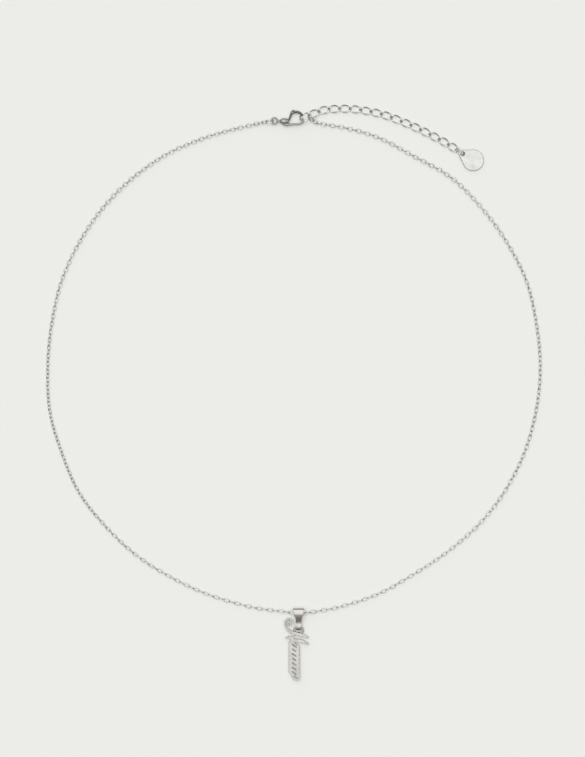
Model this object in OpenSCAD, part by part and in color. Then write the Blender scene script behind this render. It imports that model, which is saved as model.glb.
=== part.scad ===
// A fine chain necklace with a flourish pendant, lying flat and closed.
// Millimetres. +Z is up from the surface, +Y runs from the pendant to the
// clasp, and the origin is under the middle of the whole outline.

/* [Fine chain] */
// Thickness of the fine chain, flat to flat
chain_t = 1.2; // [1.0:0.05:1.25]
// Wire thickness of the plain link at each end of the fine chain
end_wire = 0.3; // [0.24:0.02:0.32]

/* [Clasp] */
// Outer diameter of the clasp's eye
eye_d = 2.0; // [1.9:0.05:2.1]
// Wire thickness of the eye
eye_wire = 0.44; // [0.36:0.02:0.46]
// Largest diameter of the clasp's bulb
bulb_d = 1.7; // [1.6:0.05:1.8]
// Thickness of the claw
claw_t = 0.64; // [0.5:0.02:0.66]
// Thickness of the lever
lever_t = 0.6; // [0.5:0.02:0.62]
// Diameter of the rivet that the lever turns on
rivet_d = 0.44; // [0.4:0.02:0.46]

/* [Rings and extender] */
// Wire thickness of the ring that the clasp holds
ring_wire = 0.36; // [0.32:0.02:0.38]
// Outer diameter of that ring
ring_d = 3.08; // [3.06:0.01:3.1]
// Outer length of an extender link
curb_l = 3.53; // [3.52:0.01:3.55]
// Width of an extender link before its twist
curb_w = 2.1; // [2.1:0.02:2.2]
// Wire thickness of an extender link
curb_wire = 0.34; // [0.32:0.01:0.34]
// Distance from one extender link to the next
curb_pitch = 2.74; // [2.72:0.01:2.75]

/* [End tag] */
// Diameter of the tag's round part
tag_d = 5.5; // [5.0:0.1:5.6]
// Thickness of the tag
tag_t = 0.6; // [0.5:0.05:0.6]
// Diameter of the tag's hole
tag_hole_d = 1.1; // [1.1:0.05:1.2]

/* [Bail] */
// Thickness of the bail's band
bail_wall = 0.35; // [0.3:0.01:0.36]
// Outer diameter of the bail's round top
bail_top_d = 2.4; // [2.35:0.05:2.45]
// Outer diameter of the bail's lower bend
bail_foot_d = 1.44; // [1.4:0.02:1.48]

/* [Pendant] */
// Thickness of the pendant
pendant_t = 1.2; // [0.9:0.05:1.3]
// Thickness of the pendant's eye
pendant_eye_wire = 0.52; // [0.44:0.02:0.54]

/* [Hidden] */
$fn = 48;
// The fine chain's tube: its sides, its rings in each span, and the height
// of its middle where it lies flat
tube_sides = 8;
route_steps = 2;
rest_z = 0.6;

// The fine chain's route, from the clasp round the pendant to the ring
chain_route = [
    [-7.7, 70.5, 0.9], [-16.5, 68.5, 0.6], [-24.5, 66, 0.6],
    [-33.5, 62, 0.6], [-42, 56, 0.6], [-49.5, 48.5, 0.6],
    [-56, 39, 0.6], [-60.5, 29, 0.6], [-63, 18, 0.6],
    [-64, 7, 0.6], [-63.5, -4.5, 0.6], [-60.5, -15, 0.6],
    [-56, -25.5, 0.6], [-49, -34.5, 0.6], [-41, -42, 0.6],
    [-31.5, -48, 0.6], [-21.5, -52.5, 0.6], [-11, -55.5, 0.6],
    [-4, -56.5, 0.7], [1.2, -57, 1.2], [6.5, -56.5, 0.7],
    [13.5, -55, 0.6], [22, -52, 0.6], [31, -47, 0.6],
    [40, -41, 0.6], [48.5, -33.5, 0.6], [55, -25, 0.6],
    [60, -15, 0.6], [63, -4, 0.6], [64, 7, 0.6],
    [63, 18, 0.6], [60.5, 29, 0.6], [55.5, 39, 0.6],
    [49, 48, 0.6], [41, 56, 0.6], [31.5, 61.5, 0.6],
    [22, 66.5, 0.6], [13.5, 69, 0.6], [5.4, 70.3, 0.9]
];

// The extender's route, from the ring to the tag
extender_route = [
    [5.2, 72.72, 0.93], [8.2, 73.72, 0.7], [13.4, 74, 0.55],
    [18.5, 73.5, 0.55], [23.7, 72.3, 0.55], [28.7, 70.4, 0.55],
    [33.8, 68.1, 0.55], [38.9, 65.4, 0.55], [43, 62.9, 0.55]
];

// The extender's line, and the distance along it to each of its points
extender_line = smooth_line(extender_route, 8);
extender_runs = [
    for (i = 1, run = 0; i <= len(extender_line);
         run = run + (i < len(extender_line) ? norm(extender_line[i] - extender_line[i - 1]) : 0),
         i = i + 1) run
];

// The extender's links: their number, their twist and their mesh
extender_count = 15;
curb_twist = 40;
curb_rings = 16;
curb_sides = 6;
curb_half_l = (curb_l - curb_wire) / 2;
curb_half_w = (curb_w - curb_wire) / 2;

// Bend and straight of the oval end links, measured at the wire's middle
end_bend = 0.62;
end_straight = 0.75;

// Where the end links and the ring lie: place, heading, pitch and roll
left_link_at = [-6.35, 70.68, 0.98];
left_link_turn = [186, 0, 52];
right_link_at = [4.42, 71.26, 1.41];
right_link_turn = [-45, 22, 60];
ring_at = [2.87, 71.8, 1.1];
ring_turn = [13, -6, -37];

// The clasp's own frame has its origin at the middle of the eye
clasp_at = [-5.1, 70.8, 1.0];
eye_r = (eye_d - eye_wire) / 2;
bulb_mid = [2.6, -0.1];
bulb_half = 1.3;
neck_d = 0.7;
pivot = [3.45, -0.1];
rivet_inset = 0.15;
rivet_gap = 0.03;
lever_gap = 0.05;
slot_gap = 0.06;
root_r = 0.42;
slot_back = 0.5;
slot_low = 0.62;
slot_size = [2.6, 2.5, lever_t + 2 * slot_gap];
claw_line = [
    [1.9, -0.5], [2.8, -0.98], [4.1, -0.95], [5.4, -0.86],
    [6.3, -0.84], [7.1, -0.56], [7.52, -0.05], [7.42, 0.42], [7.05, 0.74]
];
claw_widths = [0.5, 0.64, 0.6, 0.52, 0.5, 0.5, 0.48, 0.42, 0.32];
stem_line = [
    [3.62, 0.14], [3.85, 0.45], [4.15, 1.1], [4.4, 1.8], [4.68, 2.35], [5.12, 2.85]
];
stem_widths = [0.6, 0.54, 0.52, 0.6, 0.66, 0.16];
arm_line = [
    [4.4, 1.75], [4.8, 2.1], [5.5, 2.32], [6.3, 2.18], [7.0, 1.78], [7.34, 1.22]
];
arm_widths = [0.5, 0.66, 0.72, 0.68, 0.56, 0.38];

// The tag's own frame has its origin at the hole and runs along +X
tag_at = [43.8, 62.28, 0.5];
tag_turn = [-31, 4.8, 0];
tag_reach = 3.2;
tag_lug_r = 1.0;
tag_ring_at = [43.07, 62.79, 0.82];
tag_ring_turn = [-32, -2, 49];
tag_ring_bend = 0.75;
tag_ring_straight = 0.9;
tag_ring_wire = 0.3;

// The pendant's own frame has its origin where the chain passes the bail
pendant_at = [1.2, -57, 0];
bail_foot_y = -3.78;
bail_reach = 4;
bail_sides = [
    [1.3, 1.42], [0.4, 1.36], [-0.1, 1.24], [-0.7, 1.04],
    [-1.1, 0.87], [-1.6, 0.76], [-3.0, 0.69], [-4.0, 0.62], [-4.7, 0.54]
];
pendant_eye_bend = 0.7;
pendant_eye_straight = 0.9;

// The tendril winds out from its ball, then sweeps down into the first leaf
curl_mid = [-2.42, -2.5];
curl_r = [0.36, 1.18];
curl_turn = [-230, 198];
curl_width = [0.3, 0.4];
curl_ball_r = 0.3;
sweep_line = [
    [-3.54, -2.86], [-3.1, -3.95], [-2.1, -4.85], [-0.5, -5.4], [1.1, -5.85], [2.6, -6.3]
];
sweep_widths = [0.4, 0.5, 0.62, 0.84, 0.7, 0.16];
leaf_line = [[-2.3, -8.2], [-1.7, -7.4], [-0.4, -7.15], [1.1, -7.4], [2.6, -8.1]];
leaf_widths = [0.5, 0.86, 0.9, 0.7, 0.16];
side_leaf_line = [[-1.3, -7.3], [-1.9, -6.6], [-2.6, -6.3], [-3.4, -6.5]];
side_leaf_widths = [0.5, 0.6, 0.56, 0.14];
down_line = [[-1.2, -5.1], [-1.5, -6.0], [-1.45, -6.9], [-1.3, -7.7]];
down_widths = [0.56, 0.5, 0.5, 0.7];
tail_line = [[-1.6, -15.9], [-1.3, -16.8], [-0.6, -17.25], [0.1, -17.0], [0.1, -16.3]];
tail_widths = [0.7, 0.6, 0.5, 0.42, 0.3];

// The column of overlapping leaves: scalloped edges and a slot in each cell
column_x = -1.15;
column_top = -7.9;
column_cells = 7;
column_cell_h = 1.18;
column_steps = 8;
column_half_w = 1.18;
column_scallop = 0.3;
column_slant = -0.4;
slot_half_l = [0.88, 0.74, 0.82, 0.7, 0.8, 0.72, 0.84];
slot_half_w = 0.19;
slot_lean = -33;

EXTENDER_NODES = [
    for (i = [1 : extender_count]) str("extender_link_", i < 10 ? "0" : "", i)
];

function unit(v) = v / norm(v);
function mix(a, b, t) = a + (b - a) * t;

// Point at t between b and c on the smooth curve through a, b, c and d
function curve_point(a, b, c, d, t) =
    0.5 * (2 * b + (c - a) * t + (2 * a - 5 * b + 4 * c - d) * t * t
           + (3 * b - a - 3 * c + d) * t * t * t);

// Smooth line through the points, with a number of steps in each span
function smooth_line(p, steps) = let (last = len(p) - 1) concat(
    [for (i = [0 : last - 1], k = [0 : steps - 1])
        curve_point(p[max(i - 1, 0)], p[i], p[i + 1], p[min(i + 2, last)], k / steps)],
    [p[last]]
);

// Directions along an open line, and along a closed one
function open_way(p, i) = unit(p[min(i + 1, len(p) - 1)] - p[max(i - 1, 0)]);
function closed_way(p, i) =
    let (n = len(p)) unit(p[(i + 1) % n] - p[(i + n - 1) % n]);

// One ring of points round a line, flat side down
function ring_points(at, way, up, r, sides) =
    let (side = unit(cross(up, way)), top = cross(way, side))
    [for (k = [0 : sides - 1]) let (a = (k + 0.5) * 360 / sides)
        at + r * (cos(a) * side + sin(a) * top)];

// Walls between ring i and ring j of a swept solid
function wall(i, j, sides) = [
    for (k = [0 : sides - 1]) let (m = (k + 1) % sides)
        each [[i * sides + k, j * sides + k, j * sides + m],
              [i * sides + k, j * sides + m, i * sides + m]]
];

// Round bar with plain ends along an open line
module swept_bar(line, r, sides) {
    n = len(line);
    points = [
        for (i = [0 : n - 1]) each ring_points(line[i], open_way(line, i), [0, 0, 1], r, sides)
    ];
    walls = [for (i = [0 : n - 2]) each wall(i, i + 1, sides)];
    start = [[for (k = [0 : sides - 1]) k]];
    finish = [[for (k = [sides - 1 : -1 : 0]) (n - 1) * sides + k]];
    polyhedron(points, concat(walls, start, finish), convexity = 10);
}

// Closed wire along a looped line, each ring upright to its own plane
module swept_loop(line, ups, r, sides) {
    n = len(line);
    points = [
        for (i = [0 : n - 1]) each ring_points(line[i], closed_way(line, i), ups[i], r, sides)
    ];
    walls = [for (i = [0 : n - 1]) each wall(i, (i + 1) % n, sides)];
    polyhedron(points, walls, convexity = 10);
}

// Outline of a pen stroke along a line, with its width at each given point
function stroke_outline(p, widths, steps, cap = 5) =
    let (
        line = smooth_line(p, steps),
        half = smooth_line(widths, steps) / 2,
        n = len(line),
        out = [for (i = [0 : n - 1]) let (w = open_way(line, i)) [-w.y, w.x]],
        turn = function (v, a) [v.x * cos(a) - v.y * sin(a), v.x * sin(a) + v.y * cos(a)]
    )
    concat(
        [for (i = [0 : n - 1]) line[i] + half[i] * out[i]],
        [for (k = [1 : cap - 1]) line[n - 1] + half[n - 1] * turn(out[n - 1], -180 * k / cap)],
        [for (i = [n - 1 : -1 : 0]) line[i] - half[i] * out[i]],
        [for (k = [1 : cap - 1]) line[0] - half[0] * turn(out[0], -180 * k / cap)]
    );

module stroke(p, widths, steps = 4) {
    polygon(stroke_outline(p, widths, steps));
}

// Heading about Z, then pitch, then roll about the piece's own length
module laid(at, turn) {
    translate(at) rotate([0, turn.y, turn.x]) rotate([turn.z, 0, 0]) children();
}

// Oval link of round wire, lying in XY along X, from two bends and two bars
module oval_link(bend, straight, wire) {
    for (end = [0, 1]) mirror([end, 0, 0]) translate([straight / 2, 0, 0])
        rotate([0, 0, -90]) rotate_extrude(angle = 180) translate([bend, 0]) circle(d = wire);
    for (side = [-1, 1]) translate([-straight / 2, side * bend, 0])
        rotate([0, 90, 0]) cylinder(h = straight, d = wire);
}

module main_chain() {
    color("silver") {
        line = [for (p = smooth_line(chain_route, route_steps)) [p.x, p.y, max(p.z, rest_z)]];
        swept_bar(line, chain_t / 2 / cos(180 / tube_sides), tube_sides);
    }
}

module left_end_link() {
    color("silver") laid(left_link_at, left_link_turn) oval_link(end_bend, end_straight, end_wire);
}

module right_end_link() {
    color("silver") laid(right_link_at, right_link_turn) oval_link(end_bend, end_straight, end_wire);
}

// Egg-shaped bulb turned about the clasp's length
module bulb() {
    arc = [for (a = [0 : 10 : 180]) [bulb_d / 2 * sin(a), -bulb_half * cos(a)]];
    translate([bulb_mid.x, bulb_mid.y, 0]) rotate([0, 90, 0]) rotate_extrude() polygon(arc);
}

module clasp_body() {
    color("lightgray") translate(clasp_at) {
        rotate_extrude() translate([eye_r, 0]) circle(d = eye_wire);
        translate([eye_r + eye_wire / 4, bulb_mid.y, 0])
            rotate([0, 90, 0]) cylinder(h = bulb_mid.x - eye_d / 2, d = neck_d);
        difference() {
            union() {
                bulb();
                linear_extrude(claw_t, center = true) stroke(claw_line, claw_widths);
            }
            translate([pivot.x - slot_back, -slot_low, -slot_size.z / 2]) cube(slot_size);
            translate([pivot.x, pivot.y, -bulb_d])
                cylinder(h = 2 * bulb_d, d = rivet_d + 2 * rivet_gap);
        }
    }
}

module clasp_rivet() {
    color("gray") translate(clasp_at + [pivot.x, pivot.y, 0])
        cylinder(h = bulb_d - 2 * rivet_inset, d = rivet_d, center = true);
}

module clasp_lever() {
    color("gray") translate(clasp_at) difference() {
        union() {
            translate([pivot.x, pivot.y, 0]) cylinder(h = lever_t, r = root_r, center = true);
            linear_extrude(lever_t, center = true) {
                stroke(stem_line, stem_widths);
                stroke(arm_line, arm_widths);
            }
        }
        translate([pivot.x, pivot.y, -lever_t])
            cylinder(h = 2 * lever_t, d = rivet_d + 2 * lever_gap);
    }
}

module end_ring() {
    color("silver") laid(ring_at, ring_turn)
        rotate_extrude() translate([(ring_d - ring_wire) / 2, 0]) circle(d = ring_wire);
}

// Twisted oval of the extender: one end rolls one way, the other end back
function curb_roll(x) = -curb_twist * x / curb_half_l;
function curb_point(t) =
    let (x = curb_half_l * cos(t), s = curb_half_w * sin(t), a = curb_roll(x))
    [x, s * cos(a), s * sin(a)];
function curb_up(t) = let (a = curb_roll(curb_half_l * cos(t))) [0, -sin(a), cos(a)];

module curb_link() {
    turns = [for (k = [0 : curb_rings - 1]) k * 360 / curb_rings];
    swept_loop([for (t = turns) curb_point(t)], [for (t = turns) curb_up(t)],
               curb_wire / 2, curb_sides);
}

// Place at a distance along the extender's line
function spot(run, i = 1) =
    i >= len(extender_line) - 1 || extender_runs[i] >= run
    ? mix(extender_line[i - 1], extender_line[i],
          (run - extender_runs[i - 1]) / (extender_runs[i] - extender_runs[i - 1]))
    : spot(run, i + 1);

module extender_link(number) {
    run = (number - 1) * curb_pitch;
    at = spot(run);
    way = spot(run + curb_pitch / 2) - spot(max(run - curb_pitch / 2, 0));
    heading = atan2(way.y, way.x);
    pitch = -atan2(way.z, norm([way.x, way.y]));
    color("silver") laid(at, [heading, pitch, 0]) curb_link();
}

module tag_ring() {
    color("silver") laid(tag_ring_at, tag_ring_turn)
        oval_link(tag_ring_bend, tag_ring_straight, tag_ring_wire);
}

// Drop outline: the round part, and sides that run tangent to the lug
module drop(r, lug_r, reach) {
    lean = acos((r - lug_r) / reach);
    step = 10;
    around = [for (a = [-180 + lean : step : 180 - lean]) [reach + r * cos(a), r * sin(a)]];
    lug = [for (a = [180 - lean : step : 180 + lean]) [lug_r * cos(a), lug_r * sin(a)]];
    polygon(concat(around, lug));
}

module end_tag() {
    color("silver") laid(tag_at, tag_turn) difference() {
        linear_extrude(tag_t) drop(tag_d / 2, tag_lug_r, tag_reach);
        translate([0, 0, -tag_t]) cylinder(h = 3 * tag_t, d = tag_hole_d);
    }
}

// Side outline of the bail: a round top and a round foot with straight sides
module bail_side(inset) {
    top_r = bail_top_d / 2 - inset;
    foot_r = bail_foot_d / 2 - inset;
    top_z = bail_top_d / 2;
    foot_z = bail_foot_d / 2;
    span = [bail_foot_y, foot_z - top_z];
    lean = acos((top_r - foot_r) / norm(span));
    along = atan2(span.y, span.x);
    step = (180 - lean) / 9;
    top = [for (k = [0 : 18]) let (a = along + lean + k * step)
        [top_r * cos(a), top_z + top_r * sin(a)]];
    foot = [for (k = [0 : 8]) let (a = along - lean + k * lean / 4)
        [span.x + foot_r * cos(a), foot_z + foot_r * sin(a)]];
    polygon(concat(top, foot));
}

module pendant_bail() {
    color("gainsboro") translate(pendant_at) intersection() {
        rotate([90, 0, 90]) linear_extrude(bail_reach, center = true) difference() {
            bail_side(0);
            bail_side(bail_wall);
        }
        linear_extrude(bail_reach) polygon(concat(
            [for (s = bail_sides) [s[1], s[0]]],
            [for (i = [len(bail_sides) - 1 : -1 : 0]) [-bail_sides[i][1], bail_sides[i][0]]]
        ));
    }
}

// Line that winds outward round a point
function curl_line(mid, r, turn, steps) = [
    for (k = [0 : steps]) let (a = mix(turn[0], turn[1], k / steps))
        mid + mix(r[0], r[1], k / steps) * [cos(a), sin(a)]
];

// One edge of the column; side is -1 on the left and 1 on the right
function column_edge(side) = [
    for (k = [0 : column_cells * column_steps]) let (
        across = side * (column_half_w + column_scallop * abs(sin(k * 180 / column_steps))),
        down = column_top - k * column_cell_h / column_steps
    ) [column_x + across, down + column_slant * across]
];

// Lens-shaped slot with its points along its own length
module slot(half_l, half_w) {
    steps = 6;
    across = [for (k = [-steps : steps]) k / steps];
    polygon(concat(
        [for (t = across) [half_l * t, half_w * (1 - t * t)]],
        [for (k = [1 : 2 * steps - 1]) let (t = -across[k]) [half_l * t, -half_w * (1 - t * t)]]
    ));
}

module column() {
    left = column_edge(-1);
    right = column_edge(1);
    difference() {
        polygon(concat(left, [for (i = [len(right) - 1 : -1 : 0]) right[i]]));
        for (i = [0 : column_cells - 1])
            translate([column_x, column_top - (i + 0.5) * column_cell_h])
                rotate(slot_lean) slot(slot_half_l[i], slot_half_w);
    }
}

module tendril() {
    steps = 26;
    line = curl_line(curl_mid, curl_r, curl_turn, steps);
    stroke(line, [for (k = [0 : steps]) mix(curl_width[0], curl_width[1], k / steps)], 1);
    translate(line[0]) circle(r = curl_ball_r);
}

module pendant_scroll() {
    color("silver") translate(pendant_at) {
        linear_extrude(pendant_t) {
            tendril();
            stroke(sweep_line, sweep_widths);
            stroke(leaf_line, leaf_widths);
            stroke(side_leaf_line, side_leaf_widths);
            stroke(down_line, down_widths);
            stroke(tail_line, tail_widths);
            column();
        }
        translate([0, bail_foot_y - pendant_eye_bend, bail_foot_d / 2])
            oval_link(pendant_eye_bend, pendant_eye_straight, pendant_eye_wire);
    }
}

main_chain();
left_end_link();
right_end_link();
clasp_body();
clasp_rivet();
clasp_lever();
end_ring();
for (i = [1 : extender_count])
    extender_link(i);
tag_ring();
end_tag();
pendant_bail();
pendant_scroll();
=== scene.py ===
from bisect import bisect_right
from math import atan2, cos, pi, radians, sin

import bmesh
import bpy
import numpy as np
from mathutils import Matrix, Quaternion, Vector


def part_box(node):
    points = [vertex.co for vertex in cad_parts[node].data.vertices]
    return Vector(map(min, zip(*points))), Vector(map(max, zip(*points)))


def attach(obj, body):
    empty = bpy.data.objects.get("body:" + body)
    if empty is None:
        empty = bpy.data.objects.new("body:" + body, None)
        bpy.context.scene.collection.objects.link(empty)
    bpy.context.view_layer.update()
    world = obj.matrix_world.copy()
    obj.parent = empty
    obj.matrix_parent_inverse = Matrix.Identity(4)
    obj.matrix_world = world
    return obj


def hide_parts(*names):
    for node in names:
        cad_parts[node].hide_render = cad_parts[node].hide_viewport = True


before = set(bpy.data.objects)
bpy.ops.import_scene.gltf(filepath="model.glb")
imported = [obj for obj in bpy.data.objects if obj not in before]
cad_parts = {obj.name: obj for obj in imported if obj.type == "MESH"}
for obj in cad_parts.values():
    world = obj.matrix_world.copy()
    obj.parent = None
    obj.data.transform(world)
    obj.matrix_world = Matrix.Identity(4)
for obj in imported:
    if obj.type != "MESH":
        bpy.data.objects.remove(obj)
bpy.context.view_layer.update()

bl_info = {
    "name": "Pendant necklace",
    "version": (1, 0, 0),
    "blender": (4, 5, 0),
    "location": "View3D > Sidebar > Necklace",
    "description": "Fine chain necklace with a clasp, an extender, a tag and a flourish pendant",
    "category": "Add Mesh",
}

# One millimetre in metres, and the distance under which two points are taken as one
MM = 0.001
NO_DISTANCE = 1e-7
UP = Vector((0, 0, 1))
NECKLACE = "necklace"
LEVER = "clasp_lever"
EXTENDER_NODES = sorted(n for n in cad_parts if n.startswith("extender_link_"))

# Sides of a round bar's section, and of one with a ridge along its top
ROUND = 20
RIDGED = 6

# The fine chain's route, from the clasp round the pendant to the ring
CHAIN_ROUTE = [
    (-0.0077, 0.0705, 0.0009), (-0.0165, 0.0685, 0.0006), (-0.0245, 0.066, 0.0006),
    (-0.0335, 0.062, 0.0006), (-0.042, 0.056, 0.0006), (-0.0495, 0.0485, 0.0006),
    (-0.056, 0.039, 0.0006), (-0.0605, 0.029, 0.0006), (-0.063, 0.018, 0.0006),
    (-0.064, 0.007, 0.0006), (-0.0635, -0.0045, 0.0006), (-0.0605, -0.015, 0.0006),
    (-0.056, -0.0255, 0.0006), (-0.049, -0.0345, 0.0006), (-0.041, -0.042, 0.0006),
    (-0.0315, -0.048, 0.0006), (-0.0215, -0.0525, 0.0006), (-0.011, -0.0555, 0.0006),
    (-0.004, -0.0565, 0.0007), (0.0012, -0.057, 0.0012), (0.0065, -0.0565, 0.0007),
    (0.0135, -0.055, 0.0006), (0.022, -0.052, 0.0006), (0.031, -0.047, 0.0006),
    (0.04, -0.041, 0.0006), (0.0485, -0.0335, 0.0006), (0.055, -0.025, 0.0006),
    (0.06, -0.015, 0.0006), (0.063, -0.004, 0.0006), (0.064, 0.007, 0.0006),
    (0.063, 0.018, 0.0006), (0.0605, 0.029, 0.0006), (0.0555, 0.039, 0.0006),
    (0.049, 0.048, 0.0006), (0.041, 0.056, 0.0006), (0.0315, 0.0615, 0.0006),
    (0.022, 0.0665, 0.0006), (0.0135, 0.069, 0.0006), (0.0054, 0.0703, 0.0009),
]

# Steps of the smooth line between two points of the route
ROUTE_STEPS = 12

# How far the chain is twisted, in degrees, at shares of its length from the clasp
CHAIN_TWIST = [
    (0.02, 0), (0.14, 0), (0.28, 42), (0.42, 0), (0.58, 0), (0.76, -40), (0.9, 0), (0.985, 0),
]

# Length and width of a fine link, in millimetres, at shares of the chain's length from the clasp
LINK_SIZES = [
    (0, 1.53, 1.14), (0.12, 1.52, 1.2), (0.18, 1.51, 1.06), (0.28, 1.5, 0.96), (0.33, 1.56, 0.98),
    (0.4, 1.76, 0.98), (0.46, 1.92, 0.98), (0.5, 1.88, 1.0), (0.56, 1.8, 1.0), (0.6, 1.78, 0.98),
    (0.64, 1.74, 1.12), (0.72, 1.7, 1.06), (0.79, 1.66, 1.0), (0.84, 1.64, 1.08), (0.9, 1.63, 1.2),
    (1, 1.63, 1.16),
]

# Distance between the middles of two hooked wires, as a share of both thicknesses together
HOOK_SHARE = 0.62

# How far the clasp's bulb and rivet lie below its eye, as seen from above, in millimetres
CLASP_DROP = 0.1

# Middle of the clasp's bulb from the middle of the eye, in millimetres
BULB_X = 2.6

# Neck of the clasp: millimetres from the middle of the eye, and share of the neck's diameter
NECK = [(0.8, 0.95), (1.1, 0.9), (1.4, 1.0), (1.8, 1.6)]

# Lower left corner of the lever's slot from the rivet, and the slot's size, in millimetres
SLOT_CORNER = (-0.5, -0.52)
SLOT_SIZE = (2.6, 2.5)

# Room round the rivet in the clasp's body and in the lever
BODY_PLAY = 0.03 * MM
HUB_PLAY = 0.05 * MM

# Steps of the smooth line between two points of a stroke
STROKE_STEPS = 6

# Strokes in millimetres from the middle of the clasp's eye: x, y, width and thickness of each point
CLAW = [
    (1.9, -0.5, 0.5, 0.6), (2.8, -0.98, 0.64, 0.7), (4.1, -0.95, 0.6, 0.72), (5.4, -0.86, 0.52, 0.7),
    (6.3, -0.84, 0.5, 0.68), (7.1, -0.56, 0.5, 0.66), (7.52, -0.05, 0.48, 0.64),
    (7.42, 0.42, 0.42, 0.6), (7.05, 0.74, 0.32, 0.5),
]
LEVER_STEM = [
    (3.62, 0.14, 0.68, 0.6), (3.85, 0.45, 0.62, 0.6), (4.15, 1.1, 0.6, 0.6), (4.4, 1.8, 0.7, 0.6),
    (4.68, 2.35, 0.76, 0.56), (5.12, 2.85, 0.2, 0.36),
]
LEVER_ARM = [
    (4.4, 1.75, 0.56, 0.6), (4.8, 2.1, 0.74, 0.6), (5.5, 2.32, 0.8, 0.6), (6.3, 2.18, 0.76, 0.6),
    (7.0, 1.78, 0.62, 0.58), (7.34, 1.22, 0.42, 0.5),
]

# Places along the bail in millimetres from where the chain passes, and its half width there
BAIL_SIDES = [
    (1.3, 1.42), (0.4, 1.36), (-0.1, 1.24), (-0.7, 1.04), (-1.1, 0.87), (-1.6, 0.76), (-3.0, 0.69),
    (-4.0, 0.62), (-4.7, 0.54),
]

# How square the bail's top bend is, 2 being round, and from what share of its height this
# holds on the pendant's side
BEND_SQUARENESS = 8
BEND_SQUARED_FROM = 0.9

# How far the bail's dip leans toward its foot, 1 being halfway
DIP_LEAN = 1.35

# Cuts in each of the bail's two long sides, and columns across its strap
BAIL_CUTS = 12
BAIL_COLUMNS = 12

# Between what values a noise texture mostly keeps
NOISE_SPAN = (0.3, 0.7)

# Depth of the grain on a fully rough metal
GRAIN_DEPTH = 0.002 * MM

# Each light's direction and its width in degrees
LIGHTS = {"overhead": ((-0.06, 0.08, 1), 58), "key": ((-0.4, 1, 1.1), 76)}

# Middle of the camera's view on the floor, in metres, and the view's height: 757 pixels of 0.26 mm
VIEW_MIDDLE = (-0.00039, 0.0039)
VIEW_HEIGHT = 757 * 0.26 * MM

# How far the floor reaches from its middle, in metres
FLOOR_REACH = 1.5


def length_property(name, description, millimetres):
    """A size in metres with a default given in millimetres."""
    return bpy.props.FloatProperty(
        name=name, description=description, default=millimetres * MM, min=0, unit="LENGTH", precision=5
    )


def colour_property(name, description, colour):
    """A colour with its default."""
    return bpy.props.FloatVectorProperty(
        name=name, description=description, default=colour, size=3, min=0, max=1, subtype="COLOR"
    )


def share_property(name, description, share):
    """A number from 0 to 1 with its default."""
    return bpy.props.FloatProperty(
        name=name, description=description, default=share, min=0, max=1, subtype="FACTOR"
    )


class NecklaceChain(bpy.types.PropertyGroup):
    wire: length_property("Wire", "Thickness of the fine chain's wire", 0.22)
    width: length_property("Link width", "Outer width of the widest fine link", 1.2)
    play: length_property("Play", "Free length between two links", 0.03)


class NecklaceExtender(bpy.types.PropertyGroup):
    wire: length_property("Wire", "Thickness of the extender's wire", 0.34)
    length: length_property("Link length", "Outer length of an extender link", 3.53)
    width: length_property("Link width", "Width of an extender link before its twist", 2.1)
    twist: bpy.props.FloatProperty(
        name="Twist", description="Turn of each end of a link", default=radians(40), subtype="ANGLE"
    )


class NecklaceClasp(bpy.types.PropertyGroup):
    eye: length_property("Eye", "Outer diameter of the clasp's eye", 2.0)
    eye_wire: length_property("Eye wire", "Thickness of the eye", 0.44)
    bulb: length_property("Bulb", "Largest diameter of the clasp's bulb", 1.7)
    bulb_length: length_property("Bulb length", "Length of the bulb", 2.6)
    neck: length_property("Neck", "Diameter of the neck between eye and bulb", 0.7)
    slot: length_property("Slot", "Height of the slot that the lever turns in", 0.72)
    lever: length_property("Lever", "Thickness of the lever", 0.6)
    hub: length_property("Hub", "Radius of the lever round its rivet", 0.42)
    rivet: length_property("Rivet", "Diameter of the rivet", 0.44)
    voxel: length_property("Mesh size", "Mesh size that the body is fused at", 0.045)
    lever_voxel: length_property("Lever mesh size", "Mesh size that the lever is fused at", 0.03375)


class NecklaceTag(bpy.types.PropertyGroup):
    round_d: length_property("Diameter", "Diameter of the tag's round part", 5.5)
    reach: length_property("Reach", "From the hole to the middle of the round part", 3.2)
    lug: length_property("Lug", "Radius of the tag round its hole", 1.0)
    hole: length_property("Hole", "Diameter of the hole", 1.1)
    thick: length_property("Thickness", "Thickness of the tag", 0.6)
    edge: length_property("Edge", "Width of the rounded edge", 0.14)
    place: bpy.props.FloatVectorProperty(
        name="Place", description="Middle of the hole on the tag's lower face",
        default=(0.0438, 0.06228, 0.0005), subtype="TRANSLATION",
    )
    heading: bpy.props.FloatProperty(
        name="Heading", description="Way the tag points", default=radians(-31), subtype="ANGLE"
    )
    pitch: bpy.props.FloatProperty(
        name="Pitch", description="Slope of the tag down to the floor",
        default=radians(4.8), subtype="ANGLE",
    )


class NecklacePendant(bpy.types.PropertyGroup):
    place: bpy.props.FloatVectorProperty(
        name="Place", description="Floor under the place where the chain passes the bail",
        default=(0.0012, -0.057, 0), subtype="TRANSLATION",
    )
    strap: length_property("Strap", "Thickness of the bail's strap", 0.35)
    top_d: length_property("Bail top", "Outer diameter of the bail's round top", 2.4)
    foot_d: length_property("Bail foot", "Outer diameter of the bail's lower bend", 1.44)
    drop: length_property("Bail length", "From the middle of the top to the middle of the foot", 3.78)
    dip: length_property("Bail dip", "How far the strap dips between its two bends", 0.26)
    voxel: length_property("Mesh size", "Mesh size of the pendant's rounded edges", 0.06)


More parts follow.
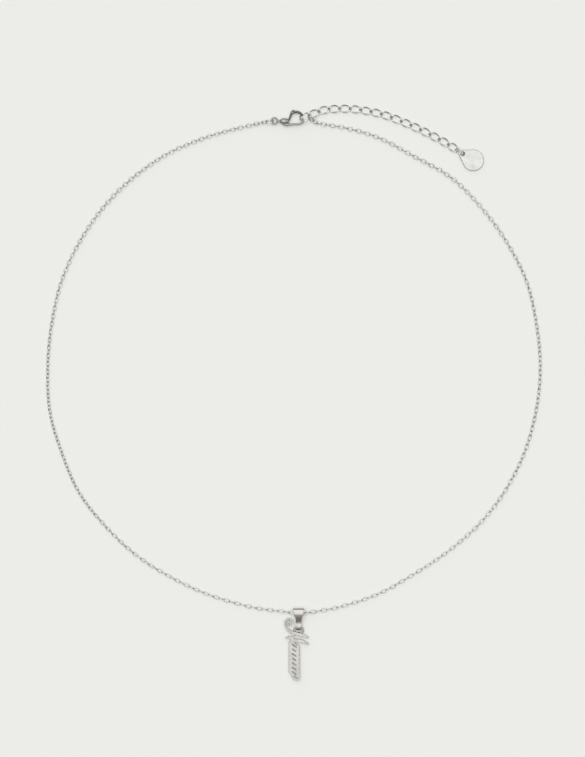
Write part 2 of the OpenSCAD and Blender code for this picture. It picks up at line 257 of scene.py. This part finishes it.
class NecklaceMetal(bpy.types.PropertyGroup):
    chain: colour_property("Chain colour", "Colour of the chains and rings", (0.55, 0.537, 0.517))
    chain_roughness: share_property("Chain roughness", "Roughness of the chains and rings", 0.27)
    clasp: colour_property("Clasp colour", "Colour of the clasp's body", (0.38, 0.37, 0.353))
    clasp_roughness: share_property("Clasp roughness", "Roughness of the clasp's body", 0.55)
    # The lever is the same steel as the body; its darker colour is painted shade, standing in for the
    # dark surroundings that its tilted faces reflect
    lever: colour_property("Lever colour", "Colour of the clasp's lever", (0.17, 0.164, 0.155))
    lever_roughness: share_property("Lever roughness", "Roughness of the clasp's lever", 0.32)
    bail: colour_property("Bail colour", "Colour of the bail", (0.38, 0.36, 0.33))
    bail_roughness: share_property("Bail roughness", "Roughness of the bail", 0.48)
    pendant: colour_property("Pendant colour", "Colour of the pendant", (0.4, 0.391, 0.372))
    pendant_roughness: share_property("Pendant roughness", "Roughness of the pendant", 0.55)
    tag: colour_property("Tag colour", "Colour of the tag", (0.45, 0.447, 0.436))
    tag_roughness: share_property("Tag roughness", "Roughness of the tag", 0.5)


class NecklaceStudio(bpy.types.PropertyGroup):
    floor: colour_property("Floor", "Colour of the floor", (0.762, 0.768, 0.735))
    glow: share_property("Floor glow", "Share of the floor's light that comes from below it", 0.25)
    lit: bpy.props.FloatProperty(
        name="Lit floor", description="Brightness of the lit floor over its colour", default=1.1, min=0
    )
    around: share_property("Surroundings", "Strength of the even light round the floor", 0.21)
    overhead: bpy.props.FloatProperty(
        name="Overhead", description="Strength of the broad light above", default=2.2, min=0
    )
    key: bpy.props.FloatProperty(
        name="Key", description="Strength of the light from the upper left", default=0.85, min=0
    )


class Route:
    """A line that gives the place and the direction at a distance along it."""

    def __init__(self, line):
        self.line = line
        self.runs = [0.0]
        for a, b in zip(line, line[1:]):
            self.runs.append(self.runs[-1] + (b - a).length)
        self.length = self.runs[-1]

    def at(self, run):
        i = min(max(bisect_right(self.runs, run), 1), len(self.line) - 1)
        share = (run - self.runs[i - 1]) / (self.runs[i] - self.runs[i - 1])
        return self.line[i - 1].lerp(self.line[i], share)

    def way(self, run, reach):
        return (self.at(run + reach) - self.at(run - reach)).normalized()


def mix(a, b, share):
    return a + (b - a) * share


def curve_point(a, b, c, d, t):
    """Point at t between b and c on the smooth curve through a, b, c and d."""
    return 0.5 * (
        2 * b + (c - a) * t + (2 * a - 5 * b + 4 * c - d) * t**2 + (3 * b - a - 3 * c + d) * t**3
    )


def smooth_line(points, steps):
    """Smooth line through the points, with a number of steps in each span."""
    last = len(points) - 1
    line = [
        curve_point(points[max(i - 1, 0)], points[i], points[i + 1], points[min(i + 2, last)], k / steps)
        for i in range(last)
        for k in range(steps)
    ]
    return line + [points[last]]


def aim(at, way, roll):
    """Place of a link with its length along way, rolled from lying flat."""
    side = Quaternion(way, roll) @ UP.cross(way).normalized()
    return Matrix.Translation(at) @ Matrix((way, side, way.cross(side))).transposed().to_4x4()


def lie_of(node):
    """A CAD link's place, length along X and width along Y, and its outer sizes."""
    corners = np.array([v.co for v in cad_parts[node].data.vertices], float)
    points = np.unique(corners.round(9), axis=0)
    middle = points.mean(0)
    ways = np.linalg.eigh(np.cov((points - middle).T))[1][:, ::-1].copy()
    ways[:, 2] = np.cross(ways[:, 0], ways[:, 1])
    size = np.ptp((points - middle) @ ways, axis=0)
    return Matrix.Translation(middle) @ Matrix(ways.tolist()).to_4x4(), size


def add_loop(bm, length, width, wire, rings, sides):
    """Adds an oval of round wire, flat in XY and longest along X, and returns its vertices."""
    old = set(bm.verts)
    # Half a step round, so that no section lies on the line between the two halves
    place = (
        Matrix.Rotation(pi / rings, 4, "Z")
        @ Matrix.Translation(((width - wire) / 2, 0, 0))
        @ Matrix.Rotation(pi / 2, 4, "X")
    )
    section = bmesh.ops.create_circle(bm, segments=sides, radius=wire / 2, matrix=place)["verts"]
    edges = list({e for v in section for e in v.link_edges})
    bmesh.ops.spin(
        bm, geom=section + edges, cent=(0, 0, 0), axis=UP, angle=2 * pi, steps=rings, use_merge=True
    )
    verts = [v for v in bm.verts if v not in old]
    stretch(bm, verts, length - width)
    return verts


def stretch(bm, verts, extra):
    """Moves the two halves of an oval apart along X."""
    for side in (-1, 1):
        half = [v for v in verts if v.co.x * side > 0]
        bmesh.ops.translate(bm, verts=half, vec=(side * extra / 2, 0, 0))


def narrow(bm, verts, less):
    """Moves the two sides of an oval closer along Y, most where it is widest."""
    reach = max(v.co.y for v in verts)
    for v in verts:
        v.co.y -= less / 2 * sin(pi / 2 * v.co.y / reach)


def smooth_stroke(points, at):
    """Line, and widths and thicknesses, of a stroke drawn in millimetres from a place."""
    line = smooth_line([Vector(p) * MM for p in points], STROKE_STEPS)
    return [at + Vector((p[0], p[1], 0)) for p in line], [(p[2], p[3]) for p in line]


def sweep(bm, line, sizes, sides):
    """Adds a bar of oval section along a line that lies flat, with its width and thickness by point."""
    last = len(line) - 1
    places = []
    for i, (at, (width, thick)) in enumerate(zip(line, sizes)):
        way = (line[min(i + 1, last)] - line[max(i - 1, 0)]).normalized()
        side = UP.cross(way).normalized()
        turn = Matrix((side * width, way.cross(side) * thick, way * width)).transposed().to_4x4()
        places.append(Matrix.Translation(at) @ turn)
    made = bmesh.ops.create_circle(bm, cap_ends=True, segments=sides, radius=0.5, matrix=places[0])
    edges = list({e for v in made["verts"] for e in v.link_edges})
    for old, new in zip(places, places[1:]):
        made = bmesh.ops.extrude_edge_only(bm, edges=edges)["geom"]
        ring = {g for g in made if isinstance(g, bmesh.types.BMVert)}
        edges = [g for g in made if isinstance(g, bmesh.types.BMEdge) and ring.issuperset(g.verts)]
        bmesh.ops.transform(bm, matrix=new @ old.inverted(), verts=list(ring))
    bmesh.ops.contextual_create(bm, geom=edges)


def add_outline(bm, bends, segments, turn, filled):
    """Adds the taut outline round some circles, given by middle and radius; turn lays it in a plane."""
    made = bmesh.ops.create_circle(
        bm, cap_ends=filled, segments=segments, radius=1, matrix=turn
    )["verts"]
    for v in made:
        out = v.co.copy()
        middle, radius = max(bends, key=lambda bend: bend[0].dot(out) + bend[1])
        v.co = middle + radius * out
    return made


def make_piece(name, bm):
    """Turns a bmesh into an object in the scene, with its faces turned outward."""
    bmesh.ops.recalc_face_normals(bm, faces=bm.faces)
    mesh = bpy.data.meshes.new(name)
    bm.to_mesh(mesh)
    bm.free()
    piece = bpy.data.objects.new(name, mesh)
    bpy.context.scene.collection.objects.link(piece)
    return piece


def bake(piece):
    """Applies a piece's modifiers to its mesh."""
    evaluated = piece.evaluated_get(bpy.context.evaluated_depsgraph_get())
    old, piece.data = piece.data, bpy.data.meshes.new_from_object(evaluated)
    piece.modifiers.clear()
    bpy.data.meshes.remove(old)


def cast(piece, voxel, rounds):
    """Fuses a piece into one skin and softens it, as a casting is."""
    skin = piece.modifiers.new("skin", "REMESH")
    skin.mode = "VOXEL"
    skin.voxel_size = voxel
    soft = piece.modifiers.new("soft", "SMOOTH")
    soft.factor = 0.5
    soft.iterations = rounds
    bake(piece)


def cut(piece, bm):
    """Cuts a bmesh out of a piece."""
    tool = make_piece("tool", bm)
    trim = piece.modifiers.new("trim", "BOOLEAN")
    trim.operation = "DIFFERENCE"
    trim.solver = "EXACT"
    trim.object = tool
    bake(piece)
    mesh = tool.data
    bpy.data.objects.remove(tool)
    bpy.data.meshes.remove(mesh)


def round_edges(piece, width, segments):
    """Rounds a piece's sharp edges and shades its flat faces flat."""
    edge = piece.modifiers.new("edge", "BEVEL")
    edge.width = width
    edge.segments = segments
    edge.limit_method = "ANGLE"
    edge.angle_limit = radians(45)
    for face in piece.data.polygons:
        face.use_smooth = True
    piece.modifiers.new("even", "WEIGHTED_NORMAL").weight = 100
    bake(piece)


def pin(at, radius, height, sides):
    """A bmesh cylinder along Z round a place."""
    bm = bmesh.new()
    bmesh.ops.create_cone(
        bm, cap_ends=True, segments=sides, radius1=radius, radius2=radius, depth=height,
        matrix=Matrix.Translation(at),
    )
    return bm


def dress(piece, body, slot, material, *nodes):
    """Gives a smooth piece its material and body, in place of its CAD nodes; its slot is not used."""
    piece.data.materials.clear()
    piece.data.materials.append(material)
    piece.data.polygons.foreach_set("use_smooth", [True] * len(piece.data.polygons))
    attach(piece, body)
    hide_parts(*nodes)


def noise_group(name, scale, detail, low, high):
    """A node group that puts out an even noise in the object's own space, between two values."""
    found = bpy.data.node_groups.get(name)
    if found:
        return found
    group = bpy.data.node_groups.new(name, "ShaderNodeTree")
    group.interface.new_socket("Value", in_out="OUTPUT", socket_type="NodeSocketFloat")
    place = group.nodes.new("ShaderNodeTexCoord")
    noise = group.nodes.new("ShaderNodeTexNoise")
    noise.inputs["Scale"].default_value = scale
    noise.inputs["Detail"].default_value = detail
    span = group.nodes.new("ShaderNodeMapRange")
    span.inputs["From Min"].default_value = NOISE_SPAN[0]
    span.inputs["From Max"].default_value = NOISE_SPAN[1]
    span.inputs["To Min"].default_value = low
    span.inputs["To Max"].default_value = high
    out = group.nodes.new("NodeGroupOutput")
    group.links.new(place.outputs["Object"], noise.inputs["Vector"])
    group.links.new(noise.outputs["Fac"], span.inputs["Value"])
    group.links.new(span.outputs["Result"], out.inputs["Value"])
    return group


def steel(part):
    """The steel of a part, whose sheen varies softly with handling and whose face has a fine grain."""
    name = part + "_steel"
    found = bpy.data.materials.get(name)
    if found:
        return found
    metal = bpy.context.scene.necklace_metal
    roughness = getattr(metal, part + "_roughness")
    material = bpy.data.materials.new(name)
    material.use_nodes = True
    tree = material.node_tree
    face = tree.nodes["Principled BSDF"]
    face.inputs["Base Color"].default_value = (*getattr(metal, part), 1)
    face.inputs["Metallic"].default_value = 1.0
    wear = tree.nodes.new("ShaderNodeGroup")
    wear.node_tree = noise_group("handling_wear", scale=500, detail=3, low=0.9, high=1.1)
    sheen = tree.nodes.new("ShaderNodeMath")
    sheen.operation = "MULTIPLY"
    sheen.inputs[1].default_value = roughness
    tree.links.new(wear.outputs["Value"], sheen.inputs[0])
    tree.links.new(sheen.outputs["Value"], face.inputs["Roughness"])
    grain = tree.nodes.new("ShaderNodeGroup")
    grain.node_tree = noise_group("metal_grain", scale=22000, detail=2, low=0, high=1)
    bump = tree.nodes.new("ShaderNodeBump")
    bump.inputs["Distance"].default_value = roughness * GRAIN_DEPTH
    tree.links.new(grain.outputs["Value"], bump.inputs["Height"])
    tree.links.new(bump.outputs["Normal"], face.inputs["Normal"])
    return material


def hook(node, wire, outward):
    """Where a chain's end wire hooks into a CAD end link, at the link's end that lies outward."""
    lie, (length, _, end_wire) = lie_of(node)
    along = lie.col[0].xyz
    along = along if along.dot(outward) > 0 else -along
    return lie.translation + along * ((length - end_wire) / 2 - (end_wire + wire) * HOOK_SHARE)


def crossing_roll(node, way):
    """Roll of a link along way that lies square to a CAD end link, from -90 to 90 degrees."""
    normal = lie_of(node)[0].col[2].xyz.cross(way)
    side = UP.cross(way).normalized()
    roll = atan2(-normal.dot(side), normal.dot(way.cross(side)))
    return (roll + pi / 2) % pi - pi / 2


def chain_twist(share, start, end):
    """Smooth twist of the chain at a share of its length, between its twists at the two ends."""
    marks = [(0, start)] + [(s, radians(t)) for s, t in CHAIN_TWIST] + [(1, end)]
    for (s0, t0), (s1, t1) in zip(marks, marks[1:]):
        if share <= s1:
            u = (share - s0) / (s1 - s0)
            return mix(t0, t1, u * u * (3 - 2 * u))
    return end


class NECKLACE_OT_fine_chain(bpy.types.Operator):
    """Lays the fine chain's links along its route, each square to the next"""

    bl_idname = "necklace.fine_chain"
    bl_label = "Fine chain"

    def execute(self, context):
        sizes = context.scene.necklace_chain
        widest = sizes.width
        line = smooth_line([Vector(p) for p in CHAIN_ROUTE], ROUTE_STEPS)
        for p in line:
            p.z = max(p.z, widest / 2)
        start = hook("left_end_link", sizes.wire, line[1] - line[0])
        end = hook("right_end_link", sizes.wire, line[-2] - line[-1])
        between = [p for p in line if min((p - start).length, (p - end).length) > widest]
        route = Route([start] + between + [end])
        shares, link_lengths, link_widths = zip(*LINK_SIZES)
        # Links from the clasp on, as many as the route takes
        runs, lengths = [], []
        run = 0
        while True:
            length = np.interp((run + widest / 2) / route.length, shares, link_lengths) * MM
            centre = run + (length - sizes.wire) / 2
            if centre + (length - sizes.wire) / 2 > route.length:
                break
            runs.append(centre)
            lengths.append(length)
            run = centre + (length - sizes.wire) / 2 - sizes.wire - sizes.play
        last_roll = crossing_roll("right_end_link", route.way(route.length - widest, widest))
        end_twist = (last_roll - len(runs) * pi / 2) % pi - pi / 2
        if abs(end_twist) > pi / 4:
            # One link fewer lets the last one lie square to the end link
            runs.pop()
            end_twist = (last_roll - len(runs) * pi / 2) % pi - pi / 2
        # Spaced out evenly, so that the last link ends where the route does
        scale = (route.length - lengths[len(runs) - 1] / 2 + sizes.wire / 2) / runs[-1]
        start_twist = crossing_roll("left_end_link", route.way(widest, widest))

        one = bmesh.new()
        add_loop(one, widest, widest, sizes.wire, rings=12, sides=5)
        template = bpy.data.meshes.new("fine_link")
        one.to_mesh(template)
        one.free()
        count = len(template.vertices)
        bm = bmesh.new()
        for i, (centre, length) in enumerate(zip(runs, lengths)):
            centre *= scale
            width = np.interp(centre / route.length, shares, link_widths) * MM
            bm.from_mesh(template)
            bm.verts.ensure_lookup_table()
            verts = bm.verts[-count:]
            narrow(bm, verts, widest - width)
            stretch(bm, verts, length - widest)
            roll = chain_twist(centre / route.length, start_twist, end_twist) + i * pi / 2
            place = aim(route.at(centre), route.way(centre, length / 2), roll)
            place.translation.z -= (widest - width) / 2
            bmesh.ops.transform(bm, matrix=place, verts=verts)
        bpy.data.meshes.remove(template)
        chain = make_piece("fine_chain", bm)
        dress(chain, NECKLACE, "chain_metal", steel("chain"), "main_chain")
        return {"FINISHED"}


class NECKLACE_OT_rings(bpy.types.Operator):
    """Makes the plain oval links and rings, each where its CAD node lies"""

    bl_idname = "necklace.rings"
    bl_label = "End links and rings"

    def execute(self, context):
        for node in ("left_end_link", "right_end_link", "end_ring", "tag_ring"):
            lie, (length, width, wire) = lie_of(node)
            bm = bmesh.new()
            verts = add_loop(bm, length, width, wire, rings=40, sides=14)
            bmesh.ops.transform(bm, matrix=lie, verts=verts)
            dress(make_piece(node + "_wire", bm), NECKLACE, "link_metal", steel("chain"), node)
        return {"FINISHED"}


class NECKLACE_OT_extender(bpy.types.Operator):
    """Makes the extender's twisted links"""

    bl_idname = "necklace.extender"
    bl_label = "Extender"

    def execute(self, context):
        sizes = context.scene.necklace_extender
        half_l = (sizes.length - sizes.wire) / 2
        half_w = (sizes.width - sizes.wire) / 2
        for node in EXTENDER_NODES:
            lie = lie_of(node)[0]
            bm = bmesh.new()
            verts = add_loop(bm, sizes.width, sizes.width, sizes.wire, rings=36, sides=12)
            for v in verts:
                along = atan2(v.co.y, v.co.x)
                v.co.x += (half_l - half_w) * cos(along)
                v.co = Matrix.Rotation(-sizes.twist * v.co.x / half_l, 3, "X") @ v.co
            bmesh.ops.transform(bm, matrix=lie, verts=verts)
            dress(make_piece(node + "_wire", bm), NECKLACE, "extender_metal", steel("chain"), node)
        return {"FINISHED"}


def eye_and_rivet():
    """Middles of the clasp's eye and rivet, from the boxes of their nodes."""
    eye = bpy.context.scene.necklace_clasp.eye
    low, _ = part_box("clasp_body")
    rivet_low, rivet_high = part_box("clasp_rivet")
    pivot = (Vector(rivet_low) + Vector(rivet_high)) / 2
    return Vector((low[0] + eye / 2, pivot.y + CLASP_DROP * MM, pivot.z)), pivot


class NECKLACE_OT_clasp(bpy.types.Operator):
    """Casts the clasp's body in one skin: eye, neck, bulb and claw, with the lever's slot cut out"""

    bl_idname = "necklace.clasp"
    bl_label = "Clasp body and rivet"

    def execute(self, context):
        sizes = context.scene.necklace_clasp
        eye, pivot = eye_and_rivet()
        bm = bmesh.new()
        verts = add_loop(bm, sizes.eye, sizes.eye, sizes.eye_wire, rings=48, sides=ROUND)
        bmesh.ops.translate(bm, verts=verts, vec=eye)
        bulb = eye + Vector((BULB_X, -CLASP_DROP, 0)) * MM
        shape = Matrix.Diagonal((sizes.bulb_length / 2, sizes.bulb / 2, sizes.bulb / 2, 1))
        bmesh.ops.create_uvsphere(
            bm, u_segments=48, v_segments=32, radius=1, matrix=Matrix.Translation(bulb) @ shape
        )
        neck = [eye + Vector((x, -CLASP_DROP, 0)) * MM for x, _ in NECK]
        sweep(bm, neck, [(sizes.neck * k, sizes.neck * k) for _, k in NECK], ROUND)
        sweep(bm, *smooth_stroke(CLAW, eye), ROUND)
        body = make_piece("clasp_casting", bm)
        cast(body, sizes.voxel, rounds=8)
        bm = bmesh.new()
        bmesh.ops.create_cube(bm, size=1)
        size = Vector((SLOT_SIZE[0] * MM, SLOT_SIZE[1] * MM, sizes.slot))
        corner = pivot + Vector((*SLOT_CORNER, 0)) * MM
        middle = corner + Vector((size.x, size.y, 0)) / 2
        shape = Matrix.Translation(middle) @ Matrix.Diagonal((*size, 1))
        bmesh.ops.transform(bm, matrix=shape, verts=bm.verts)
        cut(body, bm)
        cut(body, pin(pivot, sizes.rivet / 2 + BODY_PLAY, height=3 * sizes.bulb, sides=32))
        dress(body, NECKLACE, "clasp_metal", steel("clasp"), "clasp_body")

        low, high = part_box("clasp_rivet")
        bm = pin(pivot, sizes.rivet / 2, height=high[2] - low[2], sides=32)
        rims = [e for e in bm.edges if abs(e.verts[0].co.z - e.verts[1].co.z) < NO_DISTANCE]
        bmesh.ops.bevel(
            bm, geom=rims, offset=sizes.rivet / 5, affect="EDGES", segments=4, profile=0.5, material=-1
        )
        dress(make_piece("rivet", bm), NECKLACE, "clasp_metal", steel("clasp"), "clasp_rivet")
        return {"FINISHED"}


class NECKLACE_OT_lever(bpy.types.Operator):
    """Casts the clasp's lever: hub, stem, thumb tab and the arm that closes on the claw"""

    bl_idname = "necklace.lever"
    bl_label = "Clasp lever"

    def execute(self, context):
        sizes = context.scene.necklace_clasp
        eye, pivot = eye_and_rivet()
        bm = pin(pivot, sizes.hub, height=sizes.lever, sides=48)
        sweep(bm, *smooth_stroke(LEVER_STEM, eye), RIDGED)
        sweep(bm, *smooth_stroke(LEVER_ARM, eye), RIDGED)
        lever = make_piece("lever_casting", bm)
        cast(lever, sizes.lever_voxel, rounds=8)
        cut(lever, pin(pivot, sizes.rivet / 2 + HUB_PLAY, height=3 * sizes.lever, sides=32))
        # The lever's darker colour is painted shade on the same steel as the body
        dress(lever, LEVER, "clasp_metal", steel("lever"), "clasp_lever")
        return {"FINISHED"}


class NECKLACE_OT_tag(bpy.types.Operator):
    """Makes the bare drop-shaped tag"""

    bl_idname = "necklace.tag"
    bl_label = "End tag"

    def execute(self, context):
        sizes = context.scene.necklace_tag
        middle = Vector((0, 0, sizes.thick / 2))
        bends = [(Vector((sizes.reach, 0, 0)), sizes.round_d / 2), (Vector((0, 0, 0)), sizes.lug)]
        bm = bmesh.new()
        add_outline(bm, bends, segments=120, turn=Matrix.Identity(4), filled=True)
        raised = bmesh.ops.extrude_face_region(bm, geom=list(bm.faces))["geom"]
        top = [g for g in raised if isinstance(g, bmesh.types.BMVert)]
        bmesh.ops.translate(bm, verts=top, vec=(0, 0, sizes.thick))
        tag = make_piece("tag_plate", bm)
        cut(tag, pin(middle, sizes.hole / 2, height=3 * sizes.thick, sides=48))
        round_edges(tag, sizes.edge, segments=4)
        place = (
            Matrix.Translation(sizes.place)
            @ Matrix.Rotation(sizes.heading, 4, "Z")
            @ Matrix.Rotation(sizes.pitch, 4, "Y")
        )
        tag.data.transform(place)
        dress(tag, NECKLACE, "tag_metal", steel("tag"), "end_tag")
        return {"FINISHED"}


class NECKLACE_OT_bail(bpy.types.Operator):
    """Folds the bail's strap round the chain and the pendant's eye"""

    bl_idname = "necklace.bail"
    bl_label = "Bail"

    def execute(self, context):
        sizes = context.scene.necklace_pendant
        place = Vector(sizes.place)
        bends = [
            (place + Vector((0, 0, sizes.top_d / 2)), (sizes.top_d - sizes.strap) / 2),
            (place + Vector((0, -sizes.drop, sizes.foot_d / 2)), (sizes.foot_d - sizes.strap) / 2),
        ]
        bm = bmesh.new()
        add_outline(bm, bends, segments=64, turn=Matrix.Rotation(pi / 2, 4, "Y"), filled=False)
        top, radius = bends[0]
        for v in bm.verts:
            out = (v.co - top) / radius
            if out.y > 0 or out.z > BEND_SQUARED_FROM:
                power = abs(out.y) ** BEND_SQUARENESS + abs(out.z) ** BEND_SQUARENESS
                v.co = top + radius * out / power ** (1 / BEND_SQUARENESS)
        long_edges = [e for e in bm.edges if e.calc_length() > sizes.foot_d]
        bmesh.ops.subdivide_edges(bm, edges=long_edges, cuts=BAIL_CUTS)
        # Drawn out from -1 to 1 across, which the half widths scale further on
        bmesh.ops.translate(bm, verts=bm.verts, vec=(-1, 0, 0))
        edges = list(bm.edges)
        for _ in range(BAIL_COLUMNS):
            made = bmesh.ops.extrude_edge_only(bm, edges=edges)["geom"]
            ring = {g for g in made if isinstance(g, bmesh.types.BMVert)}
            edges = [g for g in made if isinstance(g, bmesh.types.BMEdge) and ring.issuperset(g.verts)]
            bmesh.ops.translate(bm, verts=list(ring), vec=(2 / BAIL_COLUMNS, 0, 0))
        for v in bm.verts:
            share = (place.y - sizes.foot_d / 4 - v.co.y) / (sizes.drop - sizes.foot_d / 4)
            if 0 < share < 1 and v.co.z > sizes.foot_d / 2:
                v.co.z -= sizes.dip * sin(pi * share**DIP_LEAN) ** 2
        reaches = [y for y, _ in reversed(BAIL_SIDES)]
        halves = [half for _, half in reversed(BAIL_SIDES)]
        for v in bm.verts:
            half = np.interp((v.co.y - place.y) / MM, reaches, halves) * MM
            v.co.x = place.x + (v.co.x - place.x) * half
        bail = make_piece("bail_strap", bm)
        wall = bail.modifiers.new("wall", "SOLIDIFY")
        wall.thickness = sizes.strap
        wall.offset = 0
        round_edges(bail, sizes.strap / 5, segments=3)
        dress(bail, NECKLACE, "bail_metal", steel("bail"), "pendant_bail")
        return {"FINISHED"}


class NECKLACE_OT_pendant(bpy.types.Operator):
    """Gives the flourish pendant the rounded edges of a casting"""

    bl_idname = "necklace.pendant"
    bl_label = "Pendant"

    def execute(self, context):
        sizes = context.scene.necklace_pendant
        bm = bmesh.new()
        bm.from_mesh(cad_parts["pendant_scroll"].data)
        bmesh.ops.remove_doubles(bm, verts=bm.verts, dist=NO_DISTANCE)
        pendant = make_piece("flourish", bm)
        cast(pendant, sizes.voxel, rounds=3)
        dress(pendant, NECKLACE, "pendant_metal", steel("pendant"), "pendant_scroll")
        return {"FINISHED"}


class NECKLACE_OT_stage(bpy.types.Operator):
    """Makes the pale floor, the soft light and the camera straight above"""

    bl_idname = "necklace.stage"
    bl_label = "Stage"

    def execute(self, context):
        studio = context.scene.necklace_studio
        bm = bmesh.new()
        bmesh.ops.create_grid(bm, x_segments=1, y_segments=1, size=FLOOR_REACH)
        mesh = bpy.data.meshes.new("floor")
        bm.to_mesh(mesh)
        bm.free()
        floor = bpy.data.objects.new("floor", mesh)
        context.scene.collection.objects.link(floor)
        paper = bpy.data.materials.new("pale_paper")
        paper.use_nodes = True
        face = paper.node_tree.nodes["Principled BSDF"]
        face.inputs["Base Color"].default_value = (*((1 - studio.glow) * c for c in studio.floor), 1)
        face.inputs["Emission Color"].default_value = (*(studio.lit * c for c in studio.floor), 1)
        face.inputs["Emission Strength"].default_value = studio.glow
        face.inputs["Roughness"].default_value = 0.9
        face.inputs["Specular IOR Level"].default_value = 0.1
        mesh.materials.append(paper)

        world = bpy.data.worlds.new("studio")
        world.use_nodes = True
        world.node_tree.nodes["Background"].inputs["Color"].default_value = (1, 1, 1, 1)
        world.node_tree.nodes["Background"].inputs["Strength"].default_value = studio.around
        context.scene.world = world

        for name, (way, spread) in LIGHTS.items():
            light = bpy.data.lights.new(name, "SUN")
            light.angle = radians(spread)
            light.energy = getattr(studio, name)
            lamp = bpy.data.objects.new(name, light)
            lamp.rotation_euler = Vector(way).to_track_quat("Z", "Y").to_euler()
            context.scene.collection.objects.link(lamp)

        data = bpy.data.cameras.new("camera")
        data.lens = 150
        data.sensor_width = 36
        camera = bpy.data.objects.new("camera", data)
        camera.location = (*VIEW_MIDDLE, VIEW_HEIGHT * data.lens / data.sensor_width)
        context.scene.collection.objects.link(camera)
        context.scene.camera = camera
        context.scene.view_settings.view_transform = "Standard"
        return {"FINISHED"}


class NECKLACE_PT_panel(bpy.types.Panel):
    """Lists the necklace's pieces and the stage"""

    bl_idname = "NECKLACE_PT_panel"
    bl_label = "Necklace"
    bl_space_type = "VIEW_3D"
    bl_region_type = "UI"
    bl_category = "Necklace"

    def draw(self, context):
        for operator in OPERATORS:
            self.layout.operator(operator.bl_idname)


GROUPS = {
    "necklace_chain": NecklaceChain,
    "necklace_extender": NecklaceExtender,
    "necklace_clasp": NecklaceClasp,
    "necklace_tag": NecklaceTag,
    "necklace_pendant": NecklacePendant,
    "necklace_metal": NecklaceMetal,
    "necklace_studio": NecklaceStudio,
}
OPERATORS = (
    NECKLACE_OT_fine_chain,
    NECKLACE_OT_rings,
    NECKLACE_OT_extender,
    NECKLACE_OT_clasp,
    NECKLACE_OT_lever,
    NECKLACE_OT_tag,
    NECKLACE_OT_bail,
    NECKLACE_OT_pendant,
    NECKLACE_OT_stage,
)


def register():
    for name, group in GROUPS.items():
        bpy.utils.register_class(group)
        setattr(bpy.types.Scene, name, bpy.props.PointerProperty(type=group))
    for item in (*OPERATORS, NECKLACE_PT_panel):
        bpy.utils.register_class(item)


def unregister():
    for item in (NECKLACE_PT_panel, *reversed(OPERATORS)):
        bpy.utils.unregister_class(item)
    for name, group in reversed(GROUPS.items()):
        delattr(bpy.types.Scene, name)
        bpy.utils.unregister_class(group)


def main():
    """Makes the necklace and its stage."""
    register()
    for operator in OPERATORS:
        group, name = operator.bl_idname.split(".")
        getattr(getattr(bpy.ops, group), name)()


if __name__ == "__main__":
    main()
